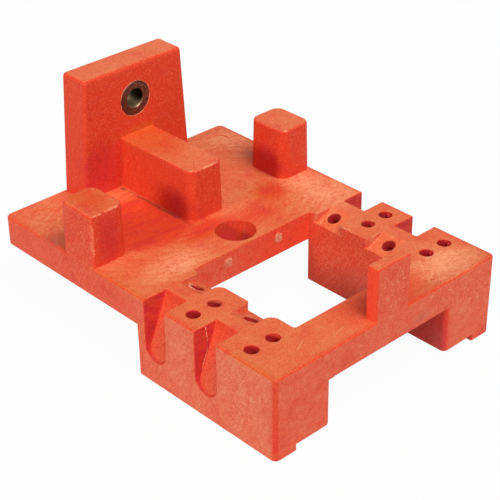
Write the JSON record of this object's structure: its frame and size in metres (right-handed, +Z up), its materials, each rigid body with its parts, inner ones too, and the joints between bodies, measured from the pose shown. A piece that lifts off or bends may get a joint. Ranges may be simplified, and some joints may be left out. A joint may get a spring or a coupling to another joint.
{
  "type": "drawer slide drilling template",
  "caption": "Moulded drilling template for drawer slides: plate with window, slotted guide blocks, board locators and an upright that carries a steel drill bush.",
  "frame": {"origin": "middle of the footprint, at the level of the strips under the guide blocks", "axes": "+X across the template to the right seen from the front tab, +Y from the front tab to the upright, +Z up, square to the plate"},
  "size_m": [0.09, 0.12, 0.067],
  "materials": {
    "orange_plastic": "satin, as moulded, with flow marks",
    "bush_steel": "hardened and darkened, bore polished by drills"
  },
  "bodies": {
    "root": {"template_body": "orange_plastic", "drill_bushing": "bush_steel"}
  },
  "joints": []
}
